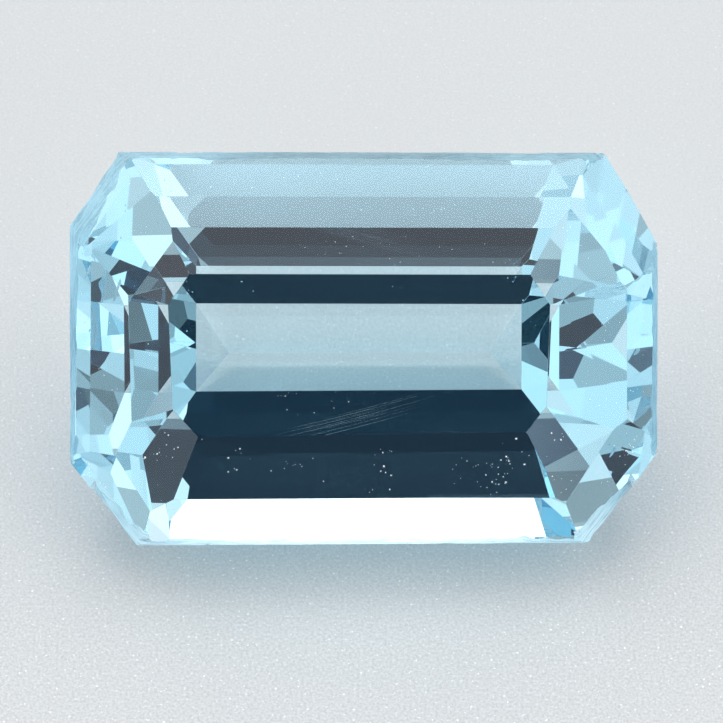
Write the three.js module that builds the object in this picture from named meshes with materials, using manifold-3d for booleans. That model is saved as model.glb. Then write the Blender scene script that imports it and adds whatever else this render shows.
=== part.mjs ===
// An emerald-cut aquamarine: a long octagonal step cut, lying on the pavilion facet it comes to rest on.
//
// The stone is made the way a lapidary cuts it. A block of rough is ground flat facet by facet, each facet
// set by its angle from the girdle plane, its azimuth around the stone and a point that it passes through.
// Cutting frame: +X along the stone, +Y across it, +Z out of the table, upper girdle edge at Z = 0.
// Finished frame: millimetres, +Z up, origin under the middle of the stone on the surface it lies on.

import * as THREE from "three";
import { mergeVertices } from "three/addons/utils/BufferGeometryUtils.js";
import Module from "manifold-3d";

const wasm = await Module();
wasm.setup();

const TABLE_HEIGHT = 1.01;
const TOP_STEP_ANGLE = 21;
// Depths below the upper girdle edge where the girdle and the first two pavilion steps end.
const GIRDLE_DEPTH = 0.17;
const PAVILION_DEPTHS = [1.68, 3.26];

// Each side's facets, as distances from the stone's axis in millimetres and angles in degrees.
// girdle: the upper and lower girdle edges, in the direction that azimuth gives.
// crown: the inner edges of the bottom, middle and top crown steps. facing: the azimuths of those steps.
// middle: the angle of the middle crown step.
// pavilion: the inner edges of its first and second steps. keel: the angle of the step that meets the keel.
const SIDES = [
  {
    name: "right end", azimuth: 0, girdle: [4.48, 4.53], middle: 21.8,
    crown: [4.06, 3.53, 2.86], facing: [0, 359.5, 358],
    pavilion: [3.82, 2.42], keel: 36.6,
  },
  {
    name: "back right corner", azimuth: 29.5, girdle: [4.55, 4.72], middle: 23,
    crown: [3.93, 3.37, 2.81], facing: [37, 34.5, 33.5],
    pavilion: [3.65, 2.46], keel: 37.2,
  },
  {
    name: "back", azimuth: 90, girdle: [2.94, 3], middle: 28.6,
    crown: [2.35, 1.89, 1.19], facing: [90, 90, 90],
    pavilion: [2.26, 0.57], keel: 25.8,
  },
  {
    name: "back left corner", azimuth: 146, girdle: [4.65, 4.8], middle: 28.7,
    crown: [4.08, 3.35, 2.84], facing: [141.5, 145, 145.5],
    pavilion: [3.95, 2.8], keel: 27.7,
  },
  {
    name: "left end", azimuth: 180, girdle: [4.43, 4.51], middle: 39.2,
    crown: [4.18, 3.55, 2.92], facing: [181.5, 182, 182.5],
    pavilion: [3.87, 2.61], keel: 37,
  },
  {
    name: "front left corner", azimuth: 218.5, girdle: [4.52, 4.64], middle: 22.2,
    crown: [4.09, 3.45, 2.7], facing: [216, 223, 226.5],
    pavilion: [3.91, 2.93], keel: 25.9,
  },
  {
    name: "front", azimuth: 270.5, girdle: [2.99, 3.04], middle: 21.6,
    crown: [2.27, 1.97, 1.26], facing: [270.5, 270.5, 271],
    pavilion: [2.49, 0.77], keel: 33.5,
  },
  {
    name: "front right corner", azimuth: 324, girdle: [4.44, 4.61], middle: 23,
    crown: [4.07, 3.14, 2.74], facing: [321.5, 319.5, 322],
    pavilion: [4.13, 3.26], keel: 57.9,
  },
];
const RESTING_SIDE = "front";
const RESTING_STEP = 1;

const ROUGH_SIZE = 16;

const radians = THREE.MathUtils.degToRad;

function toManifold(geometry) {
  const bare = geometry.clone();
  bare.deleteAttribute("normal");
  bare.deleteAttribute("uv");
  const merged = mergeVertices(bare, 1e-5);
  const vertProperties = new Float32Array(merged.attributes.position.array);
  const triVerts = new Uint32Array(merged.index.array);
  return new wasm.Manifold(new wasm.Mesh({ numProp: 3, vertProperties, triVerts }));
}

function toGeometry(solid) {
  const mesh = solid.getMesh();
  const geometry = new THREE.BufferGeometry();
  geometry.setAttribute("position", new THREE.BufferAttribute(mesh.vertProperties, mesh.numProp));
  geometry.setIndex(new THREE.BufferAttribute(mesh.triVerts, 1));
  return geometry;
}

// Everything outside the facet's plane is ground away.
function grind(solid, { normal, point }) {
  const lap = new THREE.BoxGeometry(2 * ROUGH_SIZE, 2 * ROUGH_SIZE, ROUGH_SIZE);
  lap.translate(0, 0, ROUGH_SIZE / 2);
  const turn = new THREE.Quaternion().setFromUnitVectors(new THREE.Vector3(0, 0, 1), normal);
  lap.applyQuaternion(turn);
  lap.translate(...normal.clone().multiplyScalar(normal.dot(point)));
  return solid.subtract(toManifold(lap));
}

// A facet's normal: `angle` from the girdle plane, with `facing` 1 for up on the crown and -1 for down.
function facetNormal(azimuth, angle, facing) {
  const across = Math.sin(radians(angle));
  const turned = radians(azimuth);
  return new THREE.Vector3(across * Math.cos(turned), across * Math.sin(turned), facing * Math.cos(radians(angle)));
}

function pointAt(azimuth, distance, height) {
  const turned = radians(azimuth);
  return new THREE.Vector3(distance * Math.cos(turned), distance * Math.sin(turned), height);
}

function slopeAngle(rise, run) {
  return THREE.MathUtils.radToDeg(Math.atan2(rise, run));
}

function crownFacets(side) {
  const [bottom, middle, top] = side.crown;
  const topStart = TABLE_HEIGHT - (middle - top) * Math.tan(radians(TOP_STEP_ANGLE));
  const middleStart = topStart - (bottom - middle) * Math.tan(radians(side.middle));
  const bottomAngle = slopeAngle(middleStart, side.girdle[0] - bottom);
  const [bottomFacing, middleFacing, topFacing] = side.facing;
  return [
    { normal: facetNormal(bottomFacing, bottomAngle, 1), point: pointAt(side.azimuth, side.girdle[0], 0) },
    { normal: facetNormal(middleFacing, side.middle, 1), point: pointAt(bottomFacing, bottom, middleStart) },
    { normal: facetNormal(topFacing, TOP_STEP_ANGLE, 1), point: pointAt(topFacing, top, TABLE_HEIGHT) },
  ];
}

function girdleFacet(side) {
  const [upper, lower] = side.girdle;
  const angle = slopeAngle(GIRDLE_DEPTH, lower - upper);
  return { normal: facetNormal(side.azimuth, angle, 1), point: pointAt(side.azimuth, upper, 0) };
}

function pavilionFacets(side) {
  const distances = [side.girdle[1], ...side.pavilion];
  const depths = [GIRDLE_DEPTH, ...PAVILION_DEPTHS];
  return distances.map((distance, step) => {
    const last = step === side.pavilion.length;
    const angle = last ? side.keel : slopeAngle(depths[step + 1] - depths[step], distance - distances[step + 1]);
    return { normal: facetNormal(side.azimuth, angle, -1), point: pointAt(side.azimuth, distance, -depths[step]) };
  });
}

function cutStone() {
  const tableFacet = { normal: new THREE.Vector3(0, 0, 1), point: pointAt(0, 0, TABLE_HEIGHT) };
  const sideFacets = SIDES.flatMap((side) => [...crownFacets(side), girdleFacet(side), ...pavilionFacets(side)]);
  const rough = toManifold(new THREE.BoxGeometry(ROUGH_SIZE, ROUGH_SIZE, ROUGH_SIZE));
  return [tableFacet, ...sideFacets].reduce(grind, rough);
}

// The stone is turned so that the facet it rests on faces straight down.
function layDown(geometry) {
  const side = SIDES.find((candidate) => candidate.name === RESTING_SIDE);
  const resting = pavilionFacets(side)[RESTING_STEP];
  const turn = new THREE.Quaternion().setFromUnitVectors(resting.normal, new THREE.Vector3(0, 0, -1));
  geometry.applyQuaternion(turn);
  geometry.computeBoundingBox();
  const box = geometry.boundingBox;
  const middle = box.getCenter(new THREE.Vector3());
  geometry.translate(-middle.x, -middle.y, -box.min.z);
  return geometry;
}

const aquamarine = new THREE.MeshStandardMaterial({ color: 0xa9d3e6, roughness: 0.05, metalness: 0 });
const gemstone = new THREE.Mesh(layDown(toGeometry(cutStone())), aquamarine);
gemstone.name = "gemstone";

const part = new THREE.Group();
part.add(gemstone);

export default part;
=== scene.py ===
"""Looks of an emerald-cut aquamarine lying on a pale surface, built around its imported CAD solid."""

import math
import random

import bmesh
import bpy
import numpy as np
from mathutils import Matrix, Vector, noise


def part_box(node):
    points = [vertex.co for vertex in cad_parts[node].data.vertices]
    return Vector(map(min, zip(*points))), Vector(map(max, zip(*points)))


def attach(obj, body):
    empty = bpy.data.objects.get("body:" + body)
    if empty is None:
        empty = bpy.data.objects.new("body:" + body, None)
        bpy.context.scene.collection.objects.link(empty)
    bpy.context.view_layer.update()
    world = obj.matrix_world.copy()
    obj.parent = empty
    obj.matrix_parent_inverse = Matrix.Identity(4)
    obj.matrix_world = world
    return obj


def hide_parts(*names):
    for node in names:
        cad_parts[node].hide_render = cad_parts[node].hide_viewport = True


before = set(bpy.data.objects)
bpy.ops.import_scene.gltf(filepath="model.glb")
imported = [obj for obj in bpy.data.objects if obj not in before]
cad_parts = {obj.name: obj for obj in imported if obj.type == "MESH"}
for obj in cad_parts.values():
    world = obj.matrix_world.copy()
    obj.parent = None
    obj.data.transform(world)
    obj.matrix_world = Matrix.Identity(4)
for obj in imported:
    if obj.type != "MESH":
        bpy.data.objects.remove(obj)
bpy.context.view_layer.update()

MM = 0.001
low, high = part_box("gemstone")
centre = (low + high) / 2

# Lengths are in millimetres and angles in degrees, unless a comment says otherwise.

# The CAD mesh: points this near are one point, and faces this nearly in line are one facet.
SAME_CORNER = 2e-4
SAME_FACET = 0.2
# A facet that faces up has a normal that rises at least this much.
LEAST_RISE = 0.2
# The middles of the girdle's facets lie between these depths below the table.
GIRDLE_DEPTHS = (0.96, 1.2)

# Wear of the polished edges, and of the girdle's two rims: its usual and its greatest width, the share of
# it on the girdle's side, the step from section to section, and how far a cutter reaches past what it cuts.
EDGE_WEAR = 0.010
RIM_WEAR = 0.055
WIDEST_WEAR = 0.19
GIRDLE_SHARE = 0.4
RIM_STEP = 0.07
RIM_OVERLAP = 0.02
# The rims' waves and nicks: turns of the noise in a millimetre, how strongly they count, the noise level at
# which a nick starts, the least wear between waves, and the extra wear at a corner.
SLOW_WAVES = 1.1
QUICK_WAVES = 5.3
WAVE_HEIGHT = 0.6
NICK_WAVES = 3.1
NICK_DEPTH = 4.0
NICK_LEVEL = 0.28
LEAST_WAVE = 0.55
CORNER_WEAR = 1.2

# Chips in the rims: how many, their radius, how many times larger the large ones are, what share is large,
# and how deep one bites as a share of its radius.
CHIP_COUNT = 46
CHIP_RADIUS = (0.03, 0.07)
LARGE_CHIP = 2.0
LARGE_SHARE = 0.15
CHIP_BITE = (0.15, 0.4)
CHIP_SEED = 4

# The scratches run side by side. Places are from the table's middle, along it and across it.
SCRATCH_COUNT = 10
SCRATCH_START = (-1.1, -0.2)
SCRATCH_LENGTH = (1.5, 2.1)
SCRATCH_ROWS = (-1.02, -0.74)
SCRATCH_HEADING = 14
SCRATCH_BOW = 0.02
SCRATCH_HALF_WIDTH = (0.0018, 0.004)
# A scratch's depth as a share of its half width, how blunt its ends are, and its steps along its length.
SCRATCH_DEPTH = 0.7
SCRATCH_BLUNT = 0.12
SCRATCH_STEPS = 8
SCRATCH_SEED = 9

# Small cracks: their places along and across the table, their depths below it, and their lengths.
FEATHERS = ((-3.44, 1.17, 0.42, 0.22), (-3.50, 1.00, 0.42, 0.12), (-3.92, 1.38, 0.72, 0.2))
FEATHER_WIDTH = 0.06
FEATHER_GAP = 0.006
FEATHER_BOW = 0.02
FEATHER_RIPPLE = 0.01
FEATHER_BLUNT = 0.03
FEATHER_STEPS = 26
FEATHER_COLUMNS = 8

# Dust, fine and coarse: how many specks, the range that their radius is drawn from, and the noise level
# under which none of them lies.
FINE_DUST = (420, 0.004, 0.009, -0.15)
COARSE_DUST = (110, 0.007, 0.018, 0.06)
DUST_SEED = 21
# Turns of that noise in a millimetre. Coarse dust lies on faces at least this far in front of the table's
# middle.
DRIFT_WAVES = 2.2
DUST_FRONT = 0.4
# How much a small grain is stretched along its three axes.
GRAIN_STRETCH = ((0.7, 1.5), (0.7, 1.1), (0.6, 1.0))

# After a boolean: points this near are one point, points at a gap are merged when they are this near, and
# a face this close to a polished facet's plane, with a normal this alike, has kept its polish.
SAME_POINT = 1e-5
HAIRLINE = 0.003
MENDING_ROUNDS = 3
SAME_PLANE = 0.002
SAME_NORMAL = 2e-5

# The crystal, with the absorption's density per metre.
CRYSTAL_IOR = 1.577
CRYSTAL_COLOUR = (0.14, 0.70, 0.87)
CRYSTAL_DENSITY = 88.0
FROST_COLOUR = (0.46, 0.50, 0.54)
FROST_ROUGHNESS = (0.35, 0.6)
FROST_RELIEF = 0.02
# The sizes of lumps in the frost's roughness and grain, the spacing of its ground lines, and the factor on
# places along the girdle that draws the lines out.
FROST_PATCH = 0.12
FROST_GRAIN = 0.03
LINE_SPACING = 0.02
LINE_STRETCH = 0.06
# Noise lies mostly between the first two levels. Between the next two, the ground lines go from dull to
# nearly clear.
USUAL_NOISE = (0.35, 0.65)
LINE_LEVELS = (0.36, 0.58)
LINE_DULLING = (1.0, 0.1)

# The card under the stone: the sizes of its grain, flecks and tints, its darkest and lightest tone, its
# colour, its half width in metres, and the stone's clearance over it.
FLOOR_GRAIN = 0.045
FLECK_SIZE = 0.05
TINT_SIZE = 0.22
FLOOR_TONES = (0.475, 0.66)
FLOOR_COLOUR = (0.96, 0.985, 1.0)
FLOOR_HALF = 0.25
FLOOR_GAP = 0.02
# The noise levels from dark to light grain and from plain card to a fleck, and how much the flecks and the
# tints show.
GRAIN_LEVELS = (0.3, 0.7)
FLECK_LEVELS = (0.66, 0.80)
FLECK_STRENGTH = 0.8
TINT_STRENGTH = 0.06
# From the back to the front, the places along Y between which the grain grows and the card gets lighter,
# and the shares of the full grain and tone at those places. The lighter front and darker back are painted
# light.
GRAIN_PLACES = (5.0, -4.0)
GRAIN_SHARES = (0.3, 1.0)
PAINTED_LIGHT_PLACES = (7.0, -7.0)
PAINTED_LIGHT_SHARES = (0.93, 1.0)

# The light tent: its even brightness, then its lamps and its darker parts, each with an azimuth,
# an elevation, the angles of its edge and its core, and a strength.
TENT_LIGHT = 1.08
TENT_COLOUR = (0.99, 1.0, 1.01)
LAMPS = (
    (90, 66, 30, 18, 0.5),
    (-90, 66, 30, 18, 0.65),
    (191, 56, 40, 14, 1.1),
    (186, 68, 15, 9, 1.1),
    (108, 26, 16, 8, 0.4),
    (70, 20, 16, 8, 0.25),
    (27, 46, 12, 6, 0.4),
    (-66, 10, 16, 8, 0.25),
)
SHADES = (
    (-5, 82, 24, 8, 0.2),
    (0, 1, 17, 8, 0.9),
    (-9, 31, 10, 5, 0.6),
    (-32, 25, 9, 4, 0.6),
    (-52, 42, 11, 5, 0.5),
    (-84, 43, 10, 5, 0.5),
    (22, 64, 10, 5, 0.35),
    (21, 30, 8, 4, 0.45),
)
# The opening that the camera looks through: its azimuth, where its sides, foot and head soften, as sines of
# angles from its middle and from the horizon, where it ends towards the back, how dark it is, its colour,
# and the power of its darkness by which the colour sets in.
OPENING_AZIMUTH = -1
OPENING_SIDES = (0.215, 0.165)
OPENING_FOOT = (0.40, 0.60)
OPENING_HEAD = (0.87, 0.80)
OPENING_FRONT = (0.05, -0.25)
OPENING_STRENGTH = 0.97
OPENING_COLOUR = (0.25, 0.6, 1.15)
OPENING_COLOUR_POWER = 5.0

# The camera looks at the table almost squarely: a few degrees above its normal and a little to the right.
# Its distance is in metres.
CAMERA_LIFT = 3.8
CAMERA_TURN = 1.2
CAMERA_DISTANCE = 0.25
VIEW_WIDTH = 11.12
# The camera aims this far to the right of the middle of the stone, and this far above it.
AIM = (-0.04, -0.15)
# How often light may bounce, so that it gets out of the stone again.
BOUNCES = 32


def link(obj):
    """Puts an object into the scene."""
    bpy.context.scene.collection.objects.link(obj)
    return obj


def new_object(name, mesh):
    """Makes an object of a bmesh, and frees the bmesh."""
    data = bpy.data.meshes.new(name)
    mesh.to_mesh(data)
    mesh.free()
    return link(bpy.data.objects.new(name, data))


# ---------------------------------------------------------------- the stone's shape


def facet_mesh():
    """The CAD solid with one face per facet, in millimetres."""
    mesh = bmesh.new()
    mesh.from_mesh(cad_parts["gemstone"].data)
    bmesh.ops.scale(mesh, vec=Vector((1, 1, 1)) / MM, verts=mesh.verts)
    bmesh.ops.remove_doubles(mesh, verts=mesh.verts, dist=SAME_CORNER)
    bmesh.ops.dissolve_limit(
        mesh, angle_limit=math.radians(SAME_FACET), verts=mesh.verts, edges=mesh.edges
    )
    bmesh.ops.recalc_face_normals(mesh, faces=mesh.faces)
    return mesh


def table_of(mesh):
    """The largest facet that faces up is the table."""
    up = [face for face in mesh.faces if face.normal.z > LEAST_RISE]
    return max(up, key=lambda face: face.calc_area())


facets = facet_mesh()
table = table_of(facets)
table_normal = table.normal.copy()
table_point = table.calc_center_median()


def table_frame():
    """Directions along and across the table."""
    along = Vector((1, 0, 0))
    along = (along - table_normal * along.dot(table_normal)).normalized()
    return along, table_normal.cross(along)


def on_girdle(face):
    """True for a face of the girdle's band, told by the depth of its middle below the table."""
    depth = (table_point - face.calc_center_median()).dot(table_normal)
    return GIRDLE_DEPTHS[0] < depth < GIRDLE_DEPTHS[1]


def wear_edges(mesh):
    """Rounds every polished edge a little. The girdle's own edges are ground back afterwards."""
    polished = [edge for edge in mesh.edges if not any(on_girdle(face) for face in edge.link_faces)]
    bmesh.ops.bevel(
        mesh, geom=polished, offset=EDGE_WEAR, segments=2, profile=0.5,
        affect="EDGES", clamp_overlap=True,
    )


def planes_of(mesh):
    """A row for each face: its normal, its plane's distance from the origin, and 1 on the girdle."""
    rows = []
    for face in mesh.faces:
        point = face.calc_center_median()
        rows.append((*face.normal, face.normal.dot(point), 1.0 if on_girdle(face) else 0.0))
    return np.array(rows)


def lumpy_grain(mesh, place, radius, rng, lumps=0.25):
    """Adds one small irregular grain to mesh: an icosphere that is squashed, jittered and turned."""
    grain = bmesh.ops.create_icosphere(mesh, subdivisions=1, radius=radius)["verts"]
    stretch = Vector([rng.uniform(*limits) for limits in GRAIN_STRETCH])
    turn = Matrix.Rotation(rng.uniform(0, math.tau), 3, random_direction(rng))
    for vertex in grain:
        shape = vertex.co * rng.uniform(1 - lumps, 1 + lumps)
        vertex.co = place + turn @ Vector(a * b for a, b in zip(shape, stretch))


def random_direction(rng):
    """A unit vector, with every direction as likely as any other."""
    height = rng.uniform(-1, 1)
    turn = rng.uniform(0, math.tau)
    flat = math.sqrt(1 - height * height)
    return Vector((flat * math.cos(turn), flat * math.sin(turn), height))


def into_face(face, edge):
    """The direction across a face, square to one of its edges and away from it."""
    along = (edge.verts[1].co - edge.verts[0].co).normalized()
    across = face.normal.cross(along)
    middle = (edge.verts[0].co + edge.verts[1].co) / 2
    return across if across.dot(face.calc_center_median() - middle) > 0 else -across


def girdle_rims(mesh):
    """Edges between the girdle and the crown or pavilion: ends, outward, and ways into the two faces."""
    rims = []
    for edge in mesh.edges:
        sides = sorted(edge.link_faces, key=on_girdle)
        if [on_girdle(face) for face in sides] == [False, True]:
            outward = (sides[0].normal + sides[1].normal).normalized()
            inward = [into_face(face, edge) for face in sides]
            rims.append((edge.verts[0].co.copy(), edge.verts[1].co.copy(), outward, inward))
    return rims


def closed_loops(rims):
    """The rims in order around the stone, each turned to start where the one before it ends."""
    left = list(rims)
    loops = []
    while left:
        loop = [left.pop()]
        while (loop[-1][1] - loop[0][0]).length > SAME_CORNER:
            here = loop[-1][1]
            following = min(left, key=lambda rim: min((end - here).length for end in rim[:2]))
            left.remove(following)
            start, end, outward, inward = following
            if (end - here).length < (start - here).length:
                start, end = end, start
            loop.append((start, end, outward, inward))
        loops.append(loop)
    return loops


def mitre(first, second):
    """The direction that moves both of two meeting edges inwards by one unit each."""
    return (first + second) / (1.0 + first.dot(second))


def taper(share, blunt):
    """The width at a share of a length: 1 in the middle, and less at the ends the less blunt they are."""
    return math.sin(math.pi * (blunt + (1 - 2 * blunt) * share))


def corner_share(outward):
    """0 where the stone faces one of its four sides, up to 1 where it faces a corner."""
    along, across = table_frame()
    x = outward.dot(along)
    y = outward.dot(across)
    return 2 * abs(x * y) / (x * x + y * y)


def rim_wear(place, outward):
    """How far the rim is ground back: slow and short waves, a few deep nicks, more at the corners."""
    slow = noise.noise(place * SLOW_WAVES)
    quick = noise.noise(place * QUICK_WAVES + Vector((7, 3, 1)))
    nick = max(0.0, noise.noise(place * NICK_WAVES + Vector((2, 9, 4))) - NICK_LEVEL)
    waves = max(LEAST_WAVE, 1.0 + WAVE_HEIGHT * slow + WAVE_HEIGHT * quick + NICK_DEPTH * nick)
    return min(RIM_WEAR * waves * (1 + CORNER_WEAR * corner_share(outward)), WIDEST_WEAR)


def rim_section(mesh, place, outward, inward):
    """Three corners of the wedge that grinds the rim away at a place."""
    wear = rim_wear(place, outward)
    inner = place + inward[0] * wear
    lower = place + inward[1] * wear * GIRDLE_SHARE
    reach = (inner - lower).normalized() * RIM_OVERLAP
    corners = (inner + reach, lower - reach, place + outward * (wear + RIM_OVERLAP))
    return [mesh.verts.new(corner) for corner in corners]


def join_sections(mesh, pairs):
    """Skins a tube over pairs of neighbouring sections of three corners each."""
    for before, after in pairs:
        for corner in range(3):
            following = (corner + 1) % 3
            mesh.faces.new((before[corner], before[following], after[following]))
            mesh.faces.new((before[corner], after[following], after[corner]))


def rim_cutters(mesh, rims):
    """A closed uneven wedge around each rim of the girdle, which grinds it back to a wavy frosted edge."""
    for loop in closed_loops(rims):
        sections = []
        for index, (start, end, outward, inward) in enumerate(loop):
            before = loop[index - 1]
            mitred = [mitre(a, b) for a, b in zip(before[3], inward)]
            sections.append(rim_section(mesh, start, mitre(before[2], outward), mitred))
            count = max(2, round((end - start).length / RIM_STEP))
            for step in range(1, count):
                place = start.lerp(end, step / count)
                sections.append(rim_section(mesh, place, outward, inward))
        join_sections(mesh, zip(sections[-1:] + sections[:-1], sections))


def chip_cutters(mesh, rims, rng):
    """Small irregular bites out of the girdle's two rims."""
    weights = [(end - start).length for start, end, *_ in rims]
    for start, end, outward, _ in rng.choices(rims, weights, k=CHIP_COUNT):
        radius = rng.uniform(*CHIP_RADIUS) * (LARGE_CHIP if rng.random() < LARGE_SHARE else 1.0)
        bite = rng.uniform(*CHIP_BITE) * radius
        place = start.lerp(end, rng.uniform(0.02, 0.98)) + outward * (radius - bite)
        lumpy_grain(mesh, place, radius, rng)


def scratch_cutters(mesh, rng):
    """Fine scratches side by side in the front half of the table, each a long thin wedge, point down."""
    along, across = table_frame()
    above = table_normal * 0.01
    for row in range(SCRATCH_COUNT):
        start = rng.uniform(*SCRATCH_START)
        length = rng.uniform(*SCRATCH_LENGTH)
        share = (row + rng.random() * 0.7) / SCRATCH_COUNT
        level = SCRATCH_ROWS[0] + (SCRATCH_ROWS[1] - SCRATCH_ROWS[0]) * share
        half_width = rng.uniform(*SCRATCH_HALF_WIDTH)
        sections = []
        for step in range(SCRATCH_STEPS + 1):
            x = start + length * step / SCRATCH_STEPS
            rise = math.tan(math.radians(SCRATCH_HEADING)) * x + SCRATCH_BOW * x * x
            here = table_point + along * x + across * (level + rise)
            thin = half_width * taper(step / SCRATCH_STEPS, SCRATCH_BLUNT)
            point = here - table_normal * thin * SCRATCH_DEPTH
            corners = (here + across * thin + above, point, here - across * thin + above)
            sections.append([mesh.verts.new(corner) for corner in corners])
        join_sections(mesh, zip(sections, sections[1:]))
        mesh.faces.new(sections[0][::-1])
        mesh.faces.new(sections[-1])


def close_gaps(data):
    """Merges the points that a boolean leaves on top of each other, and closes its hairline gaps."""
    mesh = bmesh.new()
    mesh.from_mesh(data)
    bmesh.ops.remove_doubles(mesh, verts=mesh.verts, dist=SAME_POINT)
    bmesh.ops.dissolve_degenerate(mesh, edges=mesh.edges, dist=SAME_POINT)
    for _ in range(MENDING_ROUNDS):
        odd = [v for v in mesh.verts if any(len(edge.link_faces) != 2 for edge in v.link_edges)]
        bmesh.ops.remove_doubles(mesh, verts=odd, dist=HAIRLINE)
    mesh.to_mesh(data)
    mesh.free()


def cut_away(obj, mesh):
    """Subtracts the closed mesh from obj with an exact boolean."""
    bmesh.ops.recalc_face_normals(mesh, faces=mesh.faces)
    cutter = new_object("cutter", mesh)
    boolean = obj.modifiers.new("cut", "BOOLEAN")
    boolean.operation = "DIFFERENCE"
    boolean.solver = "EXACT"
    boolean.use_self = True
    boolean.object = cutter
    graph = bpy.context.evaluated_depsgraph_get()
    result = bpy.data.meshes.new_from_object(obj.evaluated_get(graph))
    obj.modifiers.remove(boolean)
    obj.data = result
    bpy.data.objects.remove(cutter)
    close_gaps(obj.data)


def mark_frosted(data, planes):
    """Writes the face attribute frost: 1 on the ground girdle and wherever something broke the polish."""
    normals = np.zeros(len(data.polygons) * 3)
    centres = np.zeros(len(data.polygons) * 3)
    data.polygons.foreach_get("normal", normals)
    data.polygons.foreach_get("center", centres)
    normals = normals.reshape(-1, 3)
    offsets = (normals * centres.reshape(-1, 3)).sum(1)
    alike = normals @ planes[:, :3].T > 1 - SAME_NORMAL
    close = np.abs(offsets[:, None] - planes[None, :, 3]) < SAME_PLANE
    ground = planes[None, :, 4] > 0.5
    polished = (alike & close & ~ground).any(1)
    frost = data.attributes.new("frost", "FLOAT", "FACE")
    frost.data.foreach_set("value", np.where(polished, 0.0, 1.0))


def in_table_frame(x, y, depth):
    """A place given along the table, across it and below it, in millimetres from the table's middle."""
    along, across = table_frame()
    return table_point + along * x + across * y - table_normal * depth


def thin_void(mesh, rows):
    """A closed gap in the crystal: two sheets over the same rows of points, joined around the rim."""
    last_row = len(rows) - 1
    last_column = len(rows[0]) - 1
    layers = []
    rim = {}
    for side in (1, -1):
        layer = []
        for i, row in enumerate(rows):
            line = []
            for j, (place, normal) in enumerate(row):
                on_rim = i in (0, last_row) or j in (0, last_column)
                if on_rim and (i, j) in rim:
                    line.append(rim[i, j])
                    continue
                vertex = mesh.verts.new(place if on_rim else place + normal * side * FEATHER_GAP / 2)
                if on_rim:
                    rim[i, j] = vertex
                line.append(vertex)
            layer.append(line)
        layers.append(layer)
    faces = []
    for layer, outward in zip(layers, (True, False)):
        for i in range(last_row):
            for j in range(last_column):
                corners = [layer[i][j], layer[i][j + 1], layer[i + 1][j + 1], layer[i + 1][j]]
                faces.append(mesh.faces.new(corners if outward else corners[::-1]))
    return faces


def feather(mesh, start, end, bow, lean):
    """A curved leaf-shaped fracture between two places: bow bends its spine and lean tips its blade."""
    rows = []
    for step in range(FEATHER_STEPS + 1):
        share = step / FEATHER_STEPS
        spine = start.lerp(end, share) + bow * math.sin(math.pi * share)
        heading = (end - start + bow * math.pi * math.cos(math.pi * share)).normalized()
        blade = (lean - heading * lean.dot(heading)).normalized()
        normal = heading.cross(blade)
        reach = FEATHER_WIDTH / 2 * taper(share, FEATHER_BLUNT) ** 0.7
        row = []
        for column in range(FEATHER_COLUMNS + 1):
            side = 2 * column / FEATHER_COLUMNS - 1
            place = spine + blade * reach * side
            ripple = noise.noise(place * 4.0 + Vector((5, 0, 0)))
            row.append((place + normal * ripple * FEATHER_RIPPLE, normal))
        rows.append(row)
    return thin_void(mesh, rows)


def add_feathers(data):
    """Small open white cracks under the crown, at the left end near the back corner."""
    mesh = bmesh.new()
    mesh.from_mesh(data)
    frost = mesh.faces.layers.float["frost"]
    along = table_frame()[0]
    bow = along * FEATHER_BOW
    lean = along * 0.9 - table_normal * 0.4
    for x, y, depth, length in FEATHERS:
        half = length / 2
        start = in_table_frame(x - half * 0.4, y - half, depth)
        end = in_table_frame(x + half * 0.4, y + half, depth)
        for face in feather(mesh, start, end, bow, lean):
            face[frost] = 1.0
    mesh.to_mesh(data)
    mesh.free()


def dust_mesh():
    """Specks of dust: fine ones all over the table and crown, coarse ones in drifts along the front."""
    rng = random.Random(DUST_SEED)
    mesh = bmesh.new()
    tops = [face for face in facets.faces if face.normal.dot(table_normal) > 0.5]
    front = [face for face in tops if face.calc_center_median().y < table_point.y - DUST_FRONT]
    for faces, (count, smallest, largest, drift) in ((tops, FINE_DUST), (front, COARSE_DUST)):
        weights = [face.calc_area() for face in faces]
        placed = 0
        while placed < count:
            face = rng.choices(faces, weights)[0]
            corners = [vertex.co for vertex in face.verts]
            shares = [rng.random() ** 2 + 0.02 for _ in corners]
            place = sum((c * s for c, s in zip(corners, shares)), Vector()) / sum(shares)
            if noise.noise(place * DRIFT_WAVES) < drift:
                continue
            placed += 1
            radius = rng.uniform(smallest, largest) * rng.uniform(0.5, 1.0)
            lumpy_grain(mesh, place + face.normal * radius * 0.5, radius, rng, lumps=0.3)
    return mesh


worn = facets.copy()
wear_edges(worn)
worn_planes = planes_of(worn)
rims = girdle_rims(facets)
stone = new_object("cut_stone", worn)
grinding = bmesh.new()
rim_cutters(grinding, rims)
cut_away(stone, grinding)
damage = bmesh.new()
chip_cutters(damage, rims, random.Random(CHIP_SEED))
scratch_cutters(damage, random.Random(SCRATCH_SEED))
cut_away(stone, damage)
mark_frosted(stone.data, worn_planes)
add_feathers(stone.data)
dust = new_object("dust", dust_mesh())


# ---------------------------------------------------------------- materials


def new_material(name):
    """A material with nothing in its node tree but the output."""
    material = bpy.data.materials.new(name)
    material.use_nodes = True
    nodes = material.node_tree.nodes
    nodes.clear()
    output = nodes.new("ShaderNodeOutputMaterial")
    return material, material.node_tree, output


def connect(tree, value, socket):
    """Links an output to a socket, or sets the socket where the value is a plain number."""
    if isinstance(value, (int, float)):
        socket.default_value = value
    else:
        tree.links.new(value, socket)


def calculate(tree, operation, first, second):
    """Arithmetic on two values, each an output or a plain number."""
    node = tree.nodes.new("ShaderNodeMath")
    node.operation = operation
    connect(tree, first, node.inputs[0])
    connect(tree, second, node.inputs[1])
    return node.outputs["Value"]


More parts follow.
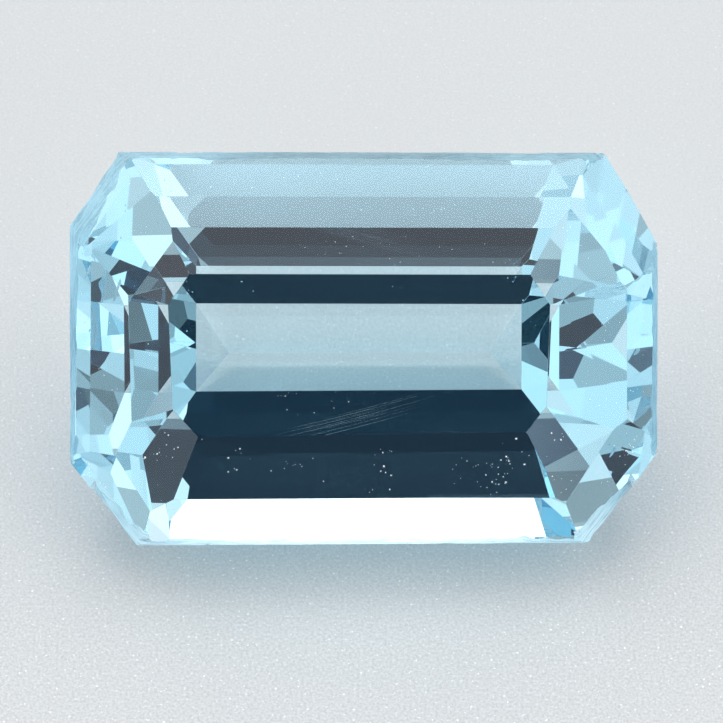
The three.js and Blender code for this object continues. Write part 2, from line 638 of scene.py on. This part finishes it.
def remap(tree, value, before, after=(0.0, 1.0), soft=False):
    """Maps the range before onto the range after, and stops at its ends."""
    node = tree.nodes.new("ShaderNodeMapRange")
    node.interpolation_type = "SMOOTHSTEP" if soft else "LINEAR"
    node.inputs["From Min"].default_value = before[0]
    node.inputs["From Max"].default_value = before[1]
    node.inputs["To Min"].default_value = after[0]
    node.inputs["To Max"].default_value = after[1]
    connect(tree, value, node.inputs["Value"])
    return node.outputs["Result"]


def blend_colours(tree, factor, first, second, operation="MIX"):
    """Blends two colours, each an output or a plain colour: the first at 0, the second at 1."""
    node = tree.nodes.new("ShaderNodeMix")
    node.data_type = "RGBA"
    node.blend_type = operation
    connect(tree, factor, node.inputs["Factor"])
    for value, name in ((first, "A"), (second, "B")):
        socket = next(s for s in node.inputs if s.name == name and s.type == "RGBA")
        if isinstance(value, tuple):
            socket.default_value = (*value, 1)
        else:
            tree.links.new(value, socket)
    return next(s for s in node.outputs if s.type == "RGBA")


def noise_texture(tree, place, size, detail=2.0, roughness=0.5):
    """Noise whose lumps are about size millimetres across."""
    node = tree.nodes.new("ShaderNodeTexNoise")
    node.inputs["Scale"].default_value = 1 / (size * MM)
    node.inputs["Detail"].default_value = detail
    node.inputs["Roughness"].default_value = roughness
    tree.links.new(place, node.inputs["Vector"])
    return node.outputs


def bump(tree, height, distance, strength):
    """Fine relief: a height of 1 stands for distance millimetres."""
    node = tree.nodes.new("ShaderNodeBump")
    node.inputs["Distance"].default_value = distance * MM
    node.inputs["Strength"].default_value = strength
    connect(tree, height, node.inputs["Height"])
    return node.outputs["Normal"]


def grinding_lines(tree, place):
    """Stretches a place along the girdle, so that noise over it makes lines that run around the stone."""
    depth = tree.nodes.new("ShaderNodeVectorMath")
    depth.operation = "DOT_PRODUCT"
    depth.inputs[1].default_value = table_normal
    tree.links.new(place, depth.inputs[0])
    across = tree.nodes.new("ShaderNodeVectorMath")
    across.operation = "SCALE"
    across.inputs[0].default_value = table_normal
    tree.links.new(depth.outputs["Value"], across.inputs["Scale"])
    along = tree.nodes.new("ShaderNodeVectorMath")
    along.operation = "SCALE"
    along.inputs["Scale"].default_value = LINE_STRETCH
    tree.links.new(place, along.inputs[0])
    both = tree.nodes.new("ShaderNodeVectorMath")
    both.operation = "ADD"
    tree.links.new(across.outputs["Vector"], both.inputs[0])
    tree.links.new(along.outputs["Vector"], both.inputs[1])
    return both.outputs["Vector"]


def aquamarine_material():
    """Clear pale blue crystal. Where it is ground or broken it is rough, and dulled in lines."""
    material, tree, output = new_material("aquamarine")
    shader = tree.nodes.new("ShaderNodeBsdfPrincipled")
    shader.inputs["IOR"].default_value = CRYSTAL_IOR
    shader.inputs["Transmission Weight"].default_value = 1.0
    shader.inputs["Base Color"].default_value = (1, 1, 1, 1)
    attribute = tree.nodes.new("ShaderNodeAttribute")
    attribute.attribute_name = "frost"
    frost = attribute.outputs["Fac"]
    place = tree.nodes.new("ShaderNodeTexCoord").outputs["Object"]

    patches = noise_texture(tree, place, FROST_PATCH)["Fac"]
    rough = calculate(tree, "MULTIPLY", frost, remap(tree, patches, USUAL_NOISE, FROST_ROUGHNESS))
    connect(tree, rough, shader.inputs["Roughness"])

    lines = noise_texture(tree, grinding_lines(tree, place), LINE_SPACING)["Fac"]
    dulled = calculate(tree, "MULTIPLY", frost, remap(tree, lines, LINE_LEVELS, LINE_DULLING))
    tinted = blend_colours(tree, dulled, (1.0, 1.0, 1.0), FROST_COLOUR)
    connect(tree, tinted, shader.inputs["Base Color"])

    grain = calculate(tree, "ADD", noise_texture(tree, place, FROST_GRAIN)["Fac"], lines)
    ground = calculate(tree, "MULTIPLY", grain, frost)
    connect(tree, bump(tree, ground, FROST_RELIEF, 1.0), shader.inputs["Normal"])

    absorption = tree.nodes.new("ShaderNodeVolumeAbsorption")
    absorption.inputs["Color"].default_value = (*CRYSTAL_COLOUR, 1)
    absorption.inputs["Density"].default_value = CRYSTAL_DENSITY
    tree.links.new(shader.outputs["BSDF"], output.inputs["Surface"])
    tree.links.new(absorption.outputs["Volume"], output.inputs["Volume"])
    return material


def dust_material():
    """Matt pale dust."""
    material, tree, output = new_material("dust")
    shader = tree.nodes.new("ShaderNodeBsdfPrincipled")
    shader.inputs["Base Color"].default_value = (0.9, 0.92, 0.93, 1)
    shader.inputs["Roughness"].default_value = 0.7
    tree.links.new(shader.outputs["BSDF"], output.inputs["Surface"])
    return material


def floor_material():
    """Pale card: grain and bright flecks that fade to the back, painted shade that darkens the back a
    little, and tints.
    """
    material, tree, output = new_material("pale_surface")
    shader = tree.nodes.new("ShaderNodeBsdfPrincipled")
    shader.inputs["Roughness"].default_value = 0.6
    shader.inputs["Specular IOR Level"].default_value = 0.3
    place = tree.nodes.new("ShaderNodeTexCoord").outputs["Object"]
    split = tree.nodes.new("ShaderNodeSeparateXYZ")
    tree.links.new(place, split.inputs["Vector"])
    nearness = remap(tree, split.outputs["Y"], [y * MM for y in GRAIN_PLACES], GRAIN_SHARES)
    # Painted light: depth makes the card's tone lighter towards the front and darker towards the back.
    depth = remap(tree, split.outputs["Y"], [y * MM for y in PAINTED_LIGHT_PLACES], PAINTED_LIGHT_SHARES)

    grain = noise_texture(tree, place, FLOOR_GRAIN, 3.0, 0.65)["Fac"]
    mottle = calculate(tree, "MULTIPLY", remap(tree, grain, GRAIN_LEVELS, (-1.0, 1.0)), nearness)
    flecks = noise_texture(tree, place, FLECK_SIZE, 1.0)["Fac"]
    spark = calculate(tree, "MULTIPLY", remap(tree, flecks, FLECK_LEVELS), nearness)
    tone = calculate(tree, "MULTIPLY", remap(tree, mottle, (-1.0, 1.0), FLOOR_TONES), depth)
    tints = noise_texture(tree, place, TINT_SIZE, 1.0)["Color"]
    tinted = blend_colours(tree, TINT_STRENGTH, FLOOR_COLOUR, tints, "OVERLAY")
    toned = blend_colours(tree, tone, (0.0, 0.0, 0.0), tinted)
    flecked = blend_colours(
        tree, calculate(tree, "MULTIPLY", spark, FLECK_STRENGTH), toned, (1.0, 1.0, 1.0)
    )
    connect(tree, flecked, shader.inputs["Base Color"])
    connect(tree, bump(tree, mottle, 0.01, 0.5), shader.inputs["Normal"])
    tree.links.new(shader.outputs["BSDF"], output.inputs["Surface"])
    return material


# ---------------------------------------------------------------- floor, camera and light


def make_floor():
    """A wide flat card just under the stone."""
    half = FLOOR_HALF
    corners = [(-half, -half, 0), (half, -half, 0), (half, half, 0), (-half, half, 0)]
    mesh = bpy.data.meshes.new("floor")
    mesh.from_pydata(corners, [], [(0, 1, 2, 3)])
    floor = link(bpy.data.objects.new("floor", mesh))
    floor.location.z = -FLOOR_GAP * MM
    mesh.materials.append(floor_material())


def make_camera():
    """A long lens that looks down on the table, with VIEW_WIDTH in view across the stone's middle."""
    data = bpy.data.cameras.new("camera")
    data.sensor_width = 36
    data.lens = data.sensor_width * CAMERA_DISTANCE / (VIEW_WIDTH * MM)
    data.clip_start = 0.01
    data.clip_end = 2.0
    camera = link(bpy.data.objects.new("camera", data))
    along, across = table_frame()
    lift = math.tan(math.radians(CAMERA_LIFT))
    turn = math.tan(math.radians(CAMERA_TURN))
    back = (table_normal + across * lift + along * turn).normalized()
    right = (along - back * along.dot(back)).normalized()
    up = back.cross(right)
    camera.location = centre + back * CAMERA_DISTANCE + (right * AIM[0] + up * AIM[1]) * MM
    camera.rotation_euler = Matrix((right, up, back)).transposed().to_euler()
    bpy.context.scene.camera = camera


def direction_of(azimuth, elevation):
    """A unit vector. Azimuth 0 is behind the camera, 90 is to its right, 180 is behind the stone."""
    turned = math.radians(azimuth)
    lift = math.radians(elevation)
    return Vector((
        math.sin(turned) * math.cos(lift), -math.cos(turned) * math.cos(lift), math.sin(lift)
    ))


def tent_direction(tree, axis):
    """How far a direction in the tent points along an axis, from -1 to 1."""
    node = tree.nodes.new("ShaderNodeVectorMath")
    node.operation = "DOT_PRODUCT"
    node.inputs[1].default_value = axis
    tree.links.new(tree.nodes["Texture Coordinate"].outputs["Generated"], node.inputs[0])
    return node.outputs["Value"]


def tent_patch(tree, azimuth, elevation, edge, core):
    """1 within core degrees of a direction, falling softly to 0 at edge degrees."""
    nearness = tent_direction(tree, direction_of(azimuth, elevation))
    limits = (math.cos(math.radians(edge)), math.cos(math.radians(core)))
    return remap(tree, nearness, limits, soft=True)


def make_world():
    """A light tent: an even glow, brighter patches for its lamps, and darker ones."""
    world = bpy.data.worlds.new("light_tent")
    bpy.context.scene.world = world
    world.use_nodes = True
    tree = world.node_tree
    tree.nodes.new("ShaderNodeTexCoord")
    across = tent_direction(tree, direction_of(OPENING_AZIMUTH + 90, 0))
    sideways = calculate(tree, "ABSOLUTE", across, 0.0)
    slot = calculate(
        tree, "MULTIPLY", remap(tree, sideways, OPENING_SIDES, soft=True),
        remap(tree, tent_direction(tree, (0, 1, 0)), OPENING_FRONT, soft=True),
    )
    height = tent_direction(tree, (0, 0, 1))
    for limits in (OPENING_FOOT, OPENING_HEAD):
        slot = calculate(tree, "MULTIPLY", slot, remap(tree, height, limits, soft=True))
    light = TENT_LIGHT
    for azimuth, elevation, edge, core, strength in LAMPS:
        patch = tent_patch(tree, azimuth, elevation, edge, core)
        light = calculate(tree, "ADD", light, calculate(tree, "MULTIPLY", patch, strength))
    shades = [(slot, OPENING_STRENGTH)]
    for azimuth, elevation, edge, core, strength in SHADES:
        shades.append((tent_patch(tree, azimuth, elevation, edge, core), strength))
    for shade, strength in shades:
        kept = calculate(tree, "SUBTRACT", 1.0, calculate(tree, "MULTIPLY", shade, strength))
        light = calculate(tree, "MULTIPLY", light, kept)
    background = tree.nodes["Background"]
    deep = calculate(tree, "POWER", slot, OPENING_COLOUR_POWER)
    colour = blend_colours(tree, deep, TENT_COLOUR, OPENING_COLOUR)
    tree.links.new(colour, background.inputs["Color"])
    tree.links.new(light, background.inputs["Strength"])


stone.data.materials.append(aquamarine_material())
for polygon in stone.data.polygons:
    polygon.use_smooth = False
stone.data.transform(Matrix.Scale(MM, 4))
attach(stone, "root")
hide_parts("gemstone")

dust.data.materials.append(dust_material())
dust.data.transform(Matrix.Scale(MM, 4))
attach(dust, "root")

make_floor()
make_camera()
make_world()

scene = bpy.context.scene
scene.view_settings.view_transform = "Standard"
scene.cycles.max_bounces = BOUNCES
scene.cycles.transmission_bounces = BOUNCES
scene.cycles.glossy_bounces = BOUNCES
scene.cycles.blur_glossy = 0.0
